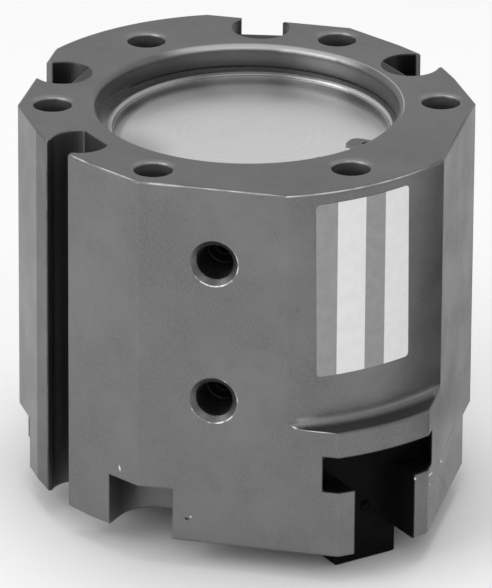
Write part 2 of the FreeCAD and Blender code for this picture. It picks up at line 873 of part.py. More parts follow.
def make_piston():
    """Stepped piston: the bosses keep the skirt clear of the air ports at both ends."""
    def ring_groove(floor, top, bottom):
        return [(piston_radius, top), (floor, top), (floor, bottom), (piston_radius, bottom)]

    bumper_inner = d.bumper_radius - bumper_half_groove
    bumper_outer = d.bumper_radius + bumper_half_groove
    upper_floor = piston_top + bumper_groove_depth
    lower_floor = piston_bottom - bumper_groove_depth
    crown = [
        (head_pocket_radius, piston_top),
        (bumper_inner, piston_top),
        (bumper_inner, upper_floor),
        (bumper_outer, upper_floor),
        (bumper_outer, piston_top),
        (d.upper_boss_radius, piston_top),
        (d.upper_boss_radius, skirt_top),
        (piston_radius, skirt_top),
    ]
    grooves = ring_groove(seal_floor, upper_seal_top, upper_seal_bottom)
    grooves += ring_groove(guide_floor, guide_top, guide_bottom)
    grooves += ring_groove(magnet_floor, magnet_top, magnet_bottom)
    grooves += ring_groove(seal_floor, lower_seal_top, lower_seal_bottom)
    base = [
        (piston_radius, skirt_bottom),
        (d.lower_boss_radius, skirt_bottom),
        (d.lower_boss_radius, piston_bottom),
        (bumper_outer, piston_bottom),
        (bumper_outer, lower_floor),
        (bumper_inner, lower_floor),
        (bumper_inner, piston_bottom),
        (spigot_radius, piston_bottom),
        (spigot_radius, web_bottom),
        (web_hole_radius, web_bottom),
        (web_hole_radius, web_top),
        (head_pocket_radius, web_top),
    ]
    return turned("piston", crown + grooves + base)


def make_piston_rings():
    gap = d.fit_gap
    seal_inner = seal_floor + gap
    magnet_outer = piston_radius - d.magnet_sink
    upper_seal = (upper_seal_top + gap, upper_seal_bottom - gap)
    lower_seal = (lower_seal_top + gap, lower_seal_bottom - gap)
    lip_ring("piston_seal_upper", seal_inner, ring_radius, *upper_seal, lips_up=True)
    lip_ring("piston_seal_lower", seal_inner, ring_radius, *lower_seal, lips_up=False)
    ring("piston_magnet", magnet_floor + gap, magnet_outer, magnet_top + gap, magnet_bottom - gap)
    guide = ring("piston_guide_ring", guide_floor + gap, ring_radius, guide_top + gap, guide_bottom - gap)
    split = new_sketch(guide, "guide_split", "XY_Plane")
    half = d.guide_split / 2
    add_rectangle(split, (0, -half), (d.cylinder_radius, half))
    cut(guide, split, d.cylinder_floor * 2, both=True)
    rest = d.bumper_section / 2 - d.bumper_rise
    round_ring("upper_bumper_ring", d.bumper_radius, d.bumper_section, piston_top + rest - gap)
    round_ring("lower_bumper_ring", d.bumper_radius, d.bumper_section, piston_bottom - rest + gap)


def make_piston_screw():
    head_radius = d.screw_head / 2
    head_face = screw_seat - d.screw_head_height
    body = turned("piston_screw", [
        (0, head_face),
        (head_radius, head_face),
        (head_radius, screw_seat),
        (screw_radius, screw_seat),
        (screw_radius, screw_tip),
        (0, screw_tip),
    ])
    socket = new_sketch(body, "screw_socket", "XY_Plane", lift=-head_face)
    add_hexagon(socket, d.screw_socket)
    cut(body, socket, d.screw_socket_depth)
    ring("piston_screw_washer", web_hole_radius, washer_radius, screw_seat, web_top)


def slanted_strip(body, name, top, bottom, start, end, side):
    """Strip along one slope of the wedge, from a start to an end distance off its face."""
    sketch = new_sketch(body, name, "YZ_Plane")
    corners = [
        (wedge_reach(top) + start, top),
        (wedge_reach(top) + end, top),
        (wedge_reach(bottom) + end, bottom),
        (wedge_reach(bottom) + start, bottom),
    ]
    trace(sketch, [(distance * side, -depth) for distance, depth in corners])
    return sketch


def make_wedge_hook():
    """Rod with a spigot for the piston, and a wedge head with a T-tongue on both slopes."""
    ring_floor = spigot_radius - d.rod_seal_section - d.fit_gap * 2
    ring_half = d.rod_seal_section / 2 + d.sliding_gap
    spigot = spigot_radius - d.fit_gap
    blind_end = screw_tip + d.screw_hole_spare
    body = turned("wedge_hook", [
        (screw_tip_radius, spigot_top),
        (spigot, spigot_top),
        (spigot, rod_ring_depth - ring_half),
        (ring_floor, rod_ring_depth - ring_half),
        (ring_floor, rod_ring_depth + ring_half),
        (spigot, rod_ring_depth + ring_half),
        (spigot, piston_bottom),
        (rod_radius, piston_bottom),
        (rod_radius, head_bottom),
        (0, head_bottom),
        (0, blind_end),
        (screw_tip_radius, blind_end),
    ])
    head = new_sketch(body, "wedge_head", "YZ_Plane")
    top_half = wedge_reach(head_top)
    bottom_half = wedge_reach(head_bottom)
    corners = [(top_half, -head_top), (bottom_half, -head_bottom)]
    trace(head, corners + [(-y, z) for y, z in reversed(corners)])
    pad(body, head, head_width, both=True)
    tongue_end = d.tongue_neck_length + d.tongue_thickness
    strips = [
        ("tongue_neck", d.tongue_neck_width, as_size(0)),
        ("tongue_bar", d.tongue_width, d.tongue_neck_length),
    ]
    for name, width, start in strips:
        for place, side in (("front", FRONT), ("rear", REAR)):
            strip = slanted_strip(body, f"{name}_{place}", head_top, head_bottom, start, tongue_end, side)
            pad(body, strip, width, both=True)
    return body


def make_rod_ring():
    radius = spigot_radius - d.fit_gap - d.rod_seal_section / 2
    return round_ring("rod_o_ring", radius, d.rod_seal_section, rod_ring_depth)


# Base jaws

def make_jaw(name, turn):
    """Jaw with a T-shaped guide, slanted inner face and T-groove, built on the front side."""
    body = new_body(name)
    section = new_sketch(body, f"{name}_section", "XZ_Plane")
    trace(section, tee_outline(jaw_half_width, jaw_half_stem, jaw_top, jaw_shoulder, jaw_bottom))
    pad(body, section, d.jaw_reach)

    def foot_edge(edge):
        return level(edge, jaw_bottom) and near(edge.BoundBox.YMin, -d.jaw_reach)

    dress("Chamfer", body, f"{name}_foot_edges", d.jaw_chamfer, foot_edge)
    cut_jaw_inner_face(body, name)
    cut_jaw_groove(body, name)
    cut_finger_holes(body, name)
    end = new_sketch(body, f"{name}_end_tap", "XZ_Plane", lift=d.jaw_reach)
    add_circle(end, (0, -(d.housing_height - d.end_tap_rise)), d.end_tap / 2)
    cut(body, end, d.end_tap_depth)
    body.Placement = Placement(Vector(), Rotation(Vector(0, 0, 1), turn))
    return body


def cut_jaw_inner_face(body, name):
    sketch = new_sketch(body, f"{name}_inner_face", "YZ_Plane")
    above = jaw_top - d.cut_margin
    below = jaw_bottom + d.cut_margin
    corners = [(-d.cut_margin, above), (jaw_inner(above), above), (jaw_foot_inner, d.housing_height)]
    corners += [(jaw_foot_inner, below), (-d.cut_margin, below)]
    trace(sketch, [(-distance, -depth) for distance, depth in corners])
    cut(body, sketch, d.slot_width + d.cut_margin, both=True)


def cut_jaw_groove(body, name):
    """T-groove along the slope, a gap wider all round than the tongue that runs in it."""
    above = jaw_top - d.cut_margin
    end = d.tongue_neck_length + d.tongue_thickness + d.tongue_gap
    strips = [
        ("groove_neck", d.tongue_neck_width, -d.tongue_gap),
        ("groove_bar", d.tongue_width, d.tongue_neck_length - d.tongue_gap),
    ]
    for label, width, start in strips:
        strip = slanted_strip(body, f"{name}_{label}", above, d.housing_height, start, end, FRONT)
        cut(body, strip, width + d.tongue_gap * 2, both=True)


def cut_finger_holes(body, name):
    first = d.jaw_reach - d.finger_hole_inset
    places = [(0, -first), (0, d.finger_hole_pitch - first)]
    holes = [
        ("finger_taps", d.finger_tap, d.finger_tap_depth),
        ("sleeve_bores", d.sleeve_bore, d.sleeve_depth),
    ]
    for label, width, depth in holes:
        sketch = new_sketch(body, f"{name}_{label}", "XY_Plane", lift=-jaw_bottom)
        for place in places:
            add_circle(sketch, place, width / 2)
        cut(body, sketch, depth, reverse=True)


# Assembly

make_housing()
make_cover()
make_cover_seal()
make_retaining_ring()
make_rod_seal()
make_rod_bush()
make_bottom_plate()
make_plate_screws()
make_piston()
make_piston_rings()
make_piston_screw()
make_wedge_hook()
make_rod_ring()
make_jaw("base_jaw_front", 0)
make_jaw("base_jaw_rear", HALF_TURN.value)
doc.recompute()

subparts = [item for item in doc.Objects if item.TypeId in ("PartDesign::Body", "Part::Torus")]
for item in doc.Objects:
    if "Invalid" in item.State or "Error" in item.State:
        raise RuntimeError(f"{item.Label} did not recompute: {item.State}")
for subpart in subparts:
    if subpart.Shape.isNull() or not subpart.Shape.isValid():
        raise RuntimeError(f"{subpart.Label} has no valid shape")
os.makedirs(PARTS_FOLDER, exist_ok=True)
for subpart in subparts:
    subpart.Shape.exportStep(os.path.join(PARTS_FOLDER, f"{subpart.Label}.step"))
    print(f"{subpart.Label}: {len(subpart.Shape.Solids)} solid, {subpart.Shape.Volume:.1f} mm3")
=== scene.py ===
"""Looks of the pneumatic parallel gripper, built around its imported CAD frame."""

import json
import math

import bmesh
import bpy
from mathutils import Matrix, Vector


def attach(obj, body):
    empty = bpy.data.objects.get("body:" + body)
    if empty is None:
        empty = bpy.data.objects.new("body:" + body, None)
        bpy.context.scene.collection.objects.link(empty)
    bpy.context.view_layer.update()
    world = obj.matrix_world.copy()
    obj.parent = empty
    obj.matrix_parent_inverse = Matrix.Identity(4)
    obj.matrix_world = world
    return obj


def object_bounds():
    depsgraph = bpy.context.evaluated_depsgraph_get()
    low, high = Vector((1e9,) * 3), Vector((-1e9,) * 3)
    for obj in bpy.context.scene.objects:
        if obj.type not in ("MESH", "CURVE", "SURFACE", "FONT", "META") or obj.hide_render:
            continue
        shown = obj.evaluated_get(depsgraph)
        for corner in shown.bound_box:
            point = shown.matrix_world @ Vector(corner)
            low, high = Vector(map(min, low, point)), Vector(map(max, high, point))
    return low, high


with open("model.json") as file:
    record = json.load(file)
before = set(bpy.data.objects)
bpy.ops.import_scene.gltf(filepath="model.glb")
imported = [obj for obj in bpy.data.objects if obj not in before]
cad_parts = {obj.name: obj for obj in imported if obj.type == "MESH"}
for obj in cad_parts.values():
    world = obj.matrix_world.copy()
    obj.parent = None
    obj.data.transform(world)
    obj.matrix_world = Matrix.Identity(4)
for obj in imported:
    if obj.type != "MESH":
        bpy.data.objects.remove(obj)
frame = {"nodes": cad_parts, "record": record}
cad_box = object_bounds()

MM = 0.001
UP = (0, 0, 1)

# Camera at the photograph's angle: degrees, metres, and the lens in millimetres
CAMERA_AZIMUTH = -31.905
CAMERA_ELEVATION = 23.818
CAMERA_ROLL = 0.370
CAMERA_DISTANCE = 1.9809
CAMERA_DROP = 0.0453
CAMERA_SIDE = 0.0002
CAMERA_LENS = 512.1

# Soft lamps: name, direction, elevation, distance, width and height in metres, watts, whether mirrored
LAMPS = [
    ("left_softbox", 178, 30, 1.1, 0.9, 0.9, 4.0, True),
    ("front_fill", 250, 38, 1.5, 1.2, 1.0, 3.2, True),
    ("top_softbox", 55, 84, 1.1, 0.6, 0.6, 4.2, False),
    ("right_rear_strip", 30, 25, 1.3, 0.7, 0.9, 0.15, True),
]
LAMP_TARGET = (0, 0, -0.045)
WORLD_LEVEL = 0.63

# Pale floor: half its side in metres, and its two tones
FLOOR_REACH = 6.0
FLOOR_TONES = (0.93, 0.90)

# Cards over the floor that only reflections show: name, centre, length and width in metres, turn and tone
CARDS = [
    ("black_card", (0.195, -0.084), (0.245, 0.115), -6, 0.01),
    ("grey_card", (0.170, 0.045), (0.220, 0.130), 32, 0.74),
]
CARD_LIFT = 0.002

# From here on, places on the part are in millimetres.
# An arc has its middle, axis, radius and width, and may have a direction with a half angle around it.
# A block has its low and high corners.
# A mark has its start, end and width, and may have a core, the share of it that is full.

# Flange holes: direction of the first in degrees, spot of painted light that fills each (low and high
# end, width by the hole's radius, core), and painted highlight on the far rim (height, radius, width,
# direction and half angle)
FIRST_HOLE = 30
HOLE_LIGHT_SPOT = (-16, 8, 2.2, 0.85)
HOLE_RIM_HIGHLIGHT = (-1.2, 4.6, 4.2, (0.53, 0.85, 0), 85)

# Air ports: distance from the mount to the flat, rim's radius and width, chamfer (depth, inset from the
# rim, width), and spot of painted shade that fills the bore (reach by its length, width by its radius,
# core)
PORT_MOUTH = 6.2
PORT_RIM = 5.75
PORT_RIM_WIDTH = 0.5
PORT_CHAMFER = (0.7, 0.75, 2.6)
PORT_SHADE_SPOT = (0.75, 3, 0.9)

# Recess in the mounting face: painted shade on its wall, and painted highlights where bare metal shows on
# its rim and on the snap ring's groove
RECESS_WALL_SHADE = ((0, 0, -3.6), UP, 35.8, 5.6, (-0.26, 0.97, 0), 103)
RECESS_RIM_HIGHLIGHTS = [
    ((0, 0, -5.2), UP, 35.8, 0.5, (-0.58, 0.81, 0), 19),
    ((0, 0, -0.5), UP, 36.7, 2.2, (0.65, 0.76, 0), 46),
    ((0, 0, 0), UP, 37.25, 0.4, (1.0, -0.1, 0), 42),
]

# Snap ring: painted shade on its inner wall and far side, and painted highlights on its rounded edge on
# the right and on the left
RING_MIDDLE = (0.47, -1.32)
RING_INNER_WALL_SHADE = ((*RING_MIDDLE, -7.6), UP, 32.6, 2.5)
RING_FAR_SIDE_SHADE = ((*RING_MIDDLE, -5.5), UP, 33.5, 4.5, (-0.09, 1.0, 0), 72)
RING_RIGHT_EDGE_HIGHLIGHT = ((*RING_MIDDLE, -5.5), UP, 32.8, 2.0, (0.94, -0.34, 0), 55)
RING_LEFT_EDGE_HIGHLIGHT = ((*RING_MIDDLE, -5.5), UP, 33.0, 2.8, (-0.77, 0.64, 0), 62)

# Plier lugs of the snap ring, with painted shade on top and a painted highlight on their walls below
LUG_TOP_SHADE = ((-2, -33, -6.3), (26, -15, -4))
LUG_WALL_HIGHLIGHT = ((-2, -33, -9), (26, -15, -6.3))

# Painted shade on the cylinder cover: a soft patch on its left, and a band along its edge that stands for
# the ring's dark reflection
COVER_LEFT_SHADE = ((-33, -14, -8), (-26, 24, -8), 26, 0.0)
COVER_EDGE_SHADE = ((*RING_MIDDLE, -8), UP, 32.2, 4.8, (-0.79, 0.62, 0), 34)

# Painted highlight along the near top edge: straight stretches, then the arc of the drum
TOP_EDGE_HIGHLIGHTS = [
    ((-52.1, -4.0, -0.25), (-50.5, -13.2, -0.25), 0.6),
    ((-50.9, -11.2, -0.25), (-46.1, -28.8, -0.25), 0.45),
    ((-47.6, -26.3, -0.25), (-37.0, -36.9, -0.25), 0.75),
    ((-43.5, -30.4, -0.25), (-18.5, -55.4, -0.25), 0.45),
]
DRUM_TOP_EDGE_HIGHLIGHT = ((0, 0, -0.25), UP, 56.75, 0.5, (-0.14, -1.0, 0), 26)

# Mounting face, a little paler than the sides
TOP_FACE = ((-70, -70, -0.2), (70, 70, 1.0))

# Walls of the jaw slot, painted black as shade
SLOT_WALL_SHADES = [
    ((-15.25, -70, -74.4), (15.25, 70, -65.3)),
    ((-8.35, -70, -100), (8.35, 70, -74.3)),
]

# Sensor grooves with painted shade inside: axis and how dark; then the ends, width and core of the spots
SHADED_GROOVES = [(46.0, 0.0, 0.9), (27.8, 38.5, 0.93), (-27.8, 38.5, 0.75)]
GROOVE_SHADE_SPOT = (-345, 255, 14.49, 0.97)

# Darker strip beside the left sensor groove
DARK_STRIP = ((-53, 4.9, -98), (-50.4, 11.7, -0.5))

# Shelf under the drum: painted highlight on the fillet within a span, and painted shade on its face
SHELF_FILLET_HIGHLIGHT = ((0, 0, -57.3), UP, 57.1, 2.0)
SHELF_HIGHLIGHT_SPAN = ((-18, -64, -61), (18, -50, -54))
SHELF_FACE_SHADE = ((-18, -64, -59.05), (18, -50, -58.6))

# Nicks and scratches on the housing
BRIGHT_NICKS = [
    ((-48.3, -21.6, -74.2), (-48.2, -22.1, -76.1), 0.7),
    ((-37.9, -36.4, -84.2), (-37.4, -36.9, -84.6), 0.5),
    ((7.7, -62.5, -74.9), (8.9, -62.4, -75.6), 0.8),
    ((12.4, -61.8, -76.0), (16.7, -57.5, -77.3), 0.7),
    ((13.4, -60.8, -78.5), (14.6, -59.6, -79.5), 0.5),
    ((22.2, -52.0, -78.2), (24.0, -50.2, -79.4), 0.9),
    ((-20.6, -53.6, -58.2), (-19.4, -54.8, -58.9), 0.6),
    ((-19.8, -54.4, -59.0), (-12.2, -62.0, -59.0), 0.45),
]
DARK_NICKS = [
    ((-38.9, -35.4, -84.8), (-37.8, -36.5, -85.3), 0.8),
    ((36.7, -37.5, -75.5), (22.9, -51.3, -77.9), 0.6),
    ((23.4, -50.8, -79.4), (27.3, -46.9, -89.5), 0.55),
    ((19.3, -54.9, -78.2), (27.3, -46.9, -89.5), 0.55),
    ((19.8, -53.8, -0.3), (48.0, -25.6, -0.3), 0.6),
]

# Label on the drum: angles from the front, positive towards +X, then heights and sizes
DRUM_RADIUS = 57.0
LABEL_LEFT = -15.2
LABEL_RIGHT = 9.8
LABEL_GREYS = [(-15.9, -10.0), (-2.7, 2.7)]
LABEL_TOP = -2.75
LABEL_BOTTOM = -46.4
LABEL_TILT = 0.7
LABEL_CORNER = 1.0
LABEL_CORNER_STEPS = 6
LABEL_COLUMNS = 48
LABEL_THICKNESS = 0.08
LABEL_GAP = 0.01

# Threads: pitch by the bore's radius, depth, half width by the pitch, points in a turn, and lengths
PITCHES = {4.35: 0.907, 2.5: 1.0, 1.65: 0.7}
THREAD_DEPTH = 0.33
THREAD_FLANK = 0.4
THREAD_STEPS = 30
FINGER_THREAD = 8.0
END_TAP_CLEARANCE = 0.6

# Colours of the rod's bush and the piston's guide ring
BRONZE = ((0.36, 0.22, 0.09, 1), (0.50, 0.33, 0.15, 1))
PLASTIC = ((0.62, 0.58, 0.47, 1), (0.70, 0.66, 0.56, 1))


def grey(level):
    return (level, level, level, 1.0)


def direction(azimuth, elevation):
    """Unit vector at an angle from +X and an elevation, in degrees."""
    turn = math.radians(azimuth)
    rise = math.radians(elevation)
    return Vector((math.cos(turn) * math.cos(rise), math.sin(turn) * math.cos(rise), math.sin(rise)))


def axes_looking_from(back, roll):
    """Rotation whose Z axis points back at the viewer, with a roll in degrees."""
    back = back.normalized()
    right = Vector(UP).cross(back).normalized()
    up = back.cross(right)
    c = math.cos(math.radians(roll))
    s = math.sin(math.radians(roll))
    turned_right = right * c + up * s
    turned_up = up * c - right * s
    return Matrix((turned_right, turned_up, back)).transposed()


def add_camera():
    data = bpy.data.cameras.new("camera")
    data.lens = CAMERA_LENS
    camera = bpy.data.objects.new("camera", data)
    bpy.context.scene.collection.objects.link(camera)
    back = direction(CAMERA_AZIMUTH - 90, CAMERA_ELEVATION)
    axes = axes_looking_from(back, CAMERA_ROLL)
    camera.matrix_world = axes.to_4x4()
    camera.location = axes @ Vector((-CAMERA_SIDE, -CAMERA_DROP, CAMERA_DISTANCE))
    bpy.context.scene.camera = camera


def add_lamps():
    for name, azimuth, elevation, distance, width, height, watts, mirrored in LAMPS:
        data = bpy.data.lights.new(name, "AREA")
        data.shape = "RECTANGLE"
        data.size = width
        data.size_y = height
        data.energy = watts
        lamp = bpy.data.objects.new(name, data)
        lamp.visible_glossy = mirrored
        bpy.context.scene.collection.objects.link(lamp)
        back = direction(azimuth, elevation)
        lamp.matrix_world = axes_looking_from(back, 0).to_4x4()
        lamp.location = Vector(LAMP_TARGET) + back * distance


def add_world():
    world = bpy.data.worlds.new("studio")
    world.use_nodes = True
    background = world.node_tree.nodes["Background"]
    background.inputs["Color"].default_value = (1, 1, 1, 1)
    background.inputs["Strength"].default_value = WORLD_LEVEL
    bpy.context.scene.world = world


class Shader:
    """Short names for the nodes of one material. Its masks are 1 inside and 0 outside."""

    # Share of an arc's half angle over which the arc is full
    ARC_FULL = 0.6

    def __init__(self, name):
        self.material = bpy.data.materials.new(name)
        self.material.use_nodes = True
        self.tree = self.material.node_tree
        self.surface = self.tree.nodes["Principled BSDF"]
        self.place = None

    def node(self, kind, **settings):
        made = self.tree.nodes.new(kind)
        for key, value in settings.items():
            setattr(made, key, value)
        return made

    def link(self, source, target):
        self.tree.links.new(source, target)

    def put(self, socket, value):
        """Constant or link on a socket."""
        if hasattr(value, "is_linked"):
            self.link(value, socket)
        else:
            socket.default_value = value

    def coordinates(self):
        if self.place is None:
            self.place = self.node("ShaderNodeTexCoord").outputs["Object"]
        return self.place

    def math(self, operation, first, second=0.0):
        made = self.node("ShaderNodeMath", operation=operation)
        self.put(made.inputs[0], first)
        self.put(made.inputs[1], second)
        return made.outputs[0]

    def vector(self, operation, first, second=None):
        """Vector maths, whose results are the node's outputs."""
        made = self.node("ShaderNodeVectorMath", operation=operation)
        self.put(made.inputs[0], first)
        if second is not None:
            self.put(made.inputs[1], second)
        return made.outputs

    def noise(self, scale, detail=3.0, roughness=0.55, stretch=None):
        made = self.node("ShaderNodeTexNoise")
        place = self.coordinates()
        if stretch is not None:
            mapping = self.node("ShaderNodeMapping")
            mapping.inputs["Scale"].default_value = stretch
            self.link(place, mapping.inputs["Vector"])
            place = mapping.outputs["Vector"]
        self.link(place, made.inputs["Vector"])
        made.inputs["Scale"].default_value = scale
        made.inputs["Detail"].default_value = detail
        made.inputs["Roughness"].default_value = roughness
        return made.outputs["Fac"]

    def spread(self, value, low, high, to_low=0.0, to_high=1.0):
        """Smooth step from one value to another, as the input goes from low to high."""
        made = self.node("ShaderNodeMapRange", interpolation_type="SMOOTHSTEP")
        self.put(made.inputs["Value"], value)
        made.inputs["From Min"].default_value = low
        made.inputs["From Max"].default_value = high
        made.inputs["To Min"].default_value = to_low
        made.inputs["To Max"].default_value = to_high
        return made.outputs["Result"]

    def blend(self, share, first, second):
        """Colour between two, by a share of the second."""
        made = self.node("ShaderNodeMix", data_type="RGBA")
        self.put(made.inputs["Factor"], share)
        self.put(made.inputs["A"], first)
        self.put(made.inputs["B"], second)
        return made.outputs["Result"]

    def layer(self, tone, mask, level, share=None):
        """Tone with a grey over it inside a mask, at a share that may be a mask too."""
        if share is not None:
            mask = self.math("MULTIPLY", mask, share)
        return self.blend(mask, tone, grey(level))

    def largest(self, masks):
        total = 0.0
        for mask in masks:
            total = self.math("MAXIMUM", mask, total)
        return total

    def edges(self, radius, low=0.02, high=0.25):
        """Mask along sharp edges, from how far a rounded normal leaves the true one."""
        rounded = self.node("ShaderNodeBevel", samples=6)
        rounded.inputs["Radius"].default_value = radius
        true = self.node("ShaderNodeNewGeometry").outputs["Normal"]
        dot = self.vector("DOT_PRODUCT", rounded.outputs["Normal"], true)["Value"]
        return self.spread(self.math("SUBTRACT", 1.0, dot), low, high)

    def hollow_shade(self, reach, low, high):
        """Mask in hollows for painted shade, from how much of the open side near walls hide."""
        made = self.node("ShaderNodeAmbientOcclusion", only_local=True, samples=8)
        made.inputs["Distance"].default_value = reach
        return self.spread(made.outputs["AO"], low, high, 1.0, 0.0)

    def mark(self, start, end, width, core=0.3):
        """Mask in a spot stretched between two points, soft outside its core."""
        start, end = Vector(start), Vector(end)
        mapping = self.node("ShaderNodeMapping", vector_type="TEXTURE")
        mapping.inputs["Location"].default_value = (start + end) / 2 * MM
        mapping.inputs["Rotation"].default_value = (end - start).to_track_quat("X", "Z").to_euler()
        mapping.inputs["Scale"].default_value = Vector(((end - start).length, width, width)) * MM / 2
        self.link(self.coordinates(), mapping.inputs["Vector"])
        size = self.vector("LENGTH", mapping.outputs["Vector"])["Value"]
        return self.spread(size, core, 1.0, 1.0, 0.0)

    def marks(self, spots):
        return self.largest([self.mark(*spot) for spot in spots])

    def arc(self, middle, axis, radius, width, towards=None, half_angle=180, core=0.3):
        """Mask along a circle, or along the stretch of it near a direction."""
        mapping = self.node("ShaderNodeMapping", vector_type="TEXTURE")
        mapping.inputs["Location"].default_value = Vector(middle) * MM
        turn = Vector(axis).to_track_quat("Z", "Y")
        mapping.inputs["Rotation"].default_value = turn.to_euler()
        self.link(self.coordinates(), mapping.inputs["Vector"])
        place = mapping.outputs["Vector"]
        spoke = self.vector("NORMALIZE", self.vector("MULTIPLY", place, (1, 1, 0))["Vector"])["Vector"]
        rim = self.node("ShaderNodeVectorMath", operation="SCALE")
        self.link(spoke, rim.inputs[0])
        rim.inputs["Scale"].default_value = radius * MM
        gap = self.vector("DISTANCE", place, rim.outputs["Vector"])["Value"]
        reach = width * MM / 2
        line = self.spread(gap, reach * core, reach, 1.0, 0.0)
        if towards is None:
            return line
        side = self.vector("DOT_PRODUCT", spoke, turn.inverted() @ Vector(towards).normalized())["Value"]
        edge = math.cos(math.radians(half_angle))
        inner = math.cos(math.radians(half_angle * self.ARC_FULL))
        return self.math("MULTIPLY", line, self.spread(side, edge, inner))

    def block(self, low, high, soft=0.15):
        """Mask inside a box between two corners, soft outside it."""
        low, high = Vector(low), Vector(high)
        shift = self.vector("SUBTRACT", self.coordinates(), (low + high) / 2 * MM)["Vector"]
        size = self.vector("ABSOLUTE", shift)["Vector"]
        past = self.vector("SUBTRACT", size, (high - low) / 2 * MM)["Vector"]
        parts = self.node("ShaderNodeSeparateXYZ")
        self.link(past, parts.inputs[0])
        widest = self.math("MAXIMUM", parts.outputs["X"], parts.outputs["Y"])
        widest = self.math("MAXIMUM", widest, parts.outputs["Z"])
        return self.spread(widest, 0.0, soft * MM, 1.0, 0.0)

    def bump(self, height, strength, distance, rounding=0.0):
        """Relief from a height, over edges that catch light as if rounded to a radius."""
        made = self.node("ShaderNodeBump")
        if rounding:
            rounded = self.node("ShaderNodeBevel", samples=6)
            rounded.inputs["Radius"].default_value = rounding
            self.link(rounded.outputs["Normal"], made.inputs["Normal"])
        made.inputs["Strength"].default_value = strength
        made.inputs["Distance"].default_value = distance
        self.link(height, made.inputs["Height"])
        self.link(made.outputs["Normal"], self.surface.inputs["Normal"])

    def finish(self, colour, roughness, metallic=0.0, specular=0.5):
        self.put(self.surface.inputs["Base Color"], colour)
        self.put(self.surface.inputs["Roughness"], roughness)
        self.surface.inputs["Metallic"].default_value = metallic
        self.surface.inputs["Specular IOR Level"].default_value = specular
        return self.material


def mounts(word):
    """Mounts of the frame whose name has a word in it."""
    return [mount for mount in frame["record"]["mounts"] if word in mount["name"]]


def port_bore_shades():
    """Spots of painted shade that fill the tapped bores of the air ports."""
    reach, width, core = PORT_SHADE_SPOT
    spots = []
    for port in mounts("air_port"):
        middle = Vector(port["pos_m"]) / MM
        half = Vector(port["axis"]) * port["dims"]["length_mm"] * reach
        spots.append((middle - half, middle + half, port["dims"]["r_mm"] * width, core))
    return spots


def port_rims_and_glints(s):
    """Rims of the air ports, bare metal with painted glints, bright below and on one side."""
    up = Vector(UP)
    rims = []
    for port in mounts("air_port"):
        axis = Vector(port["axis"])
        mouth = Vector(port["pos_m"]) / MM + axis * PORT_MOUTH
        beside = up.cross(axis)
        for towards, half_angle in ((-up, 80), (beside - up * 0.3, 62), (beside + up, 28)):
            rims.append(s.arc(mouth, axis, PORT_RIM, PORT_RIM_WIDTH, towards, half_angle))
    return s.largest(rims)


def port_chamfers(s):
    """Dull chamfers between the rims and the bores of the air ports."""
    depth, inset, width = PORT_CHAMFER
    rings = []
    for port in mounts("air_port"):
        axis = Vector(port["axis"])
        middle = Vector(port["pos_m"]) / MM + axis * (PORT_MOUTH - depth)
        rings.append(s.arc(middle, axis, PORT_RIM - inset, width))
    return s.largest(rings)


def flange_holes():
    """Places of the six flange holes on the mounting face, and their radius."""
    pattern = mounts("mounting_bolts")[0]["dims"]
    reach = pattern["pcd_mm"] / 2
    places = []
    for number in range(pattern["count"]):
        turn = math.radians(FIRST_HOLE + 360 * number / pattern["count"])
        places.append((reach * math.cos(turn), reach * math.sin(turn)))
    return places, pattern["hole_r_mm"]


def hole_wall_light():
    """Spots of painted light that fill the upper ends of the flange holes, which are less dark than the
    grooves.
    """
    places, radius = flange_holes()
    low, high, width, core = HOLE_LIGHT_SPOT
    return [((x, y, low), (x, y, high), radius * width, core) for x, y in places]


def hole_rim_highlights(s):
    """Painted highlights on the far rims of the flange holes, which fade into the walls."""
    height, radius, width, towards, half_angle = HOLE_RIM_HIGHLIGHT
    rims = []
    for x, y in flange_holes()[0]:
        rims.append(s.arc((x, y, height), UP, radius, width, towards, half_angle, core=0.1))
    return s.largest(rims)


def groove_shade_mask(s):
    """Mask of painted shade in the sensor grooves, at the share of each."""
    low, high, width, core = GROOVE_SHADE_SPOT
    spots = []
    for x, y, share in SHADED_GROOVES:
        spot = s.mark((x, y, low), (x, y, high), width, core)
        spots.append(s.math("MULTIPLY", spot, share))
    return s.largest(spots)


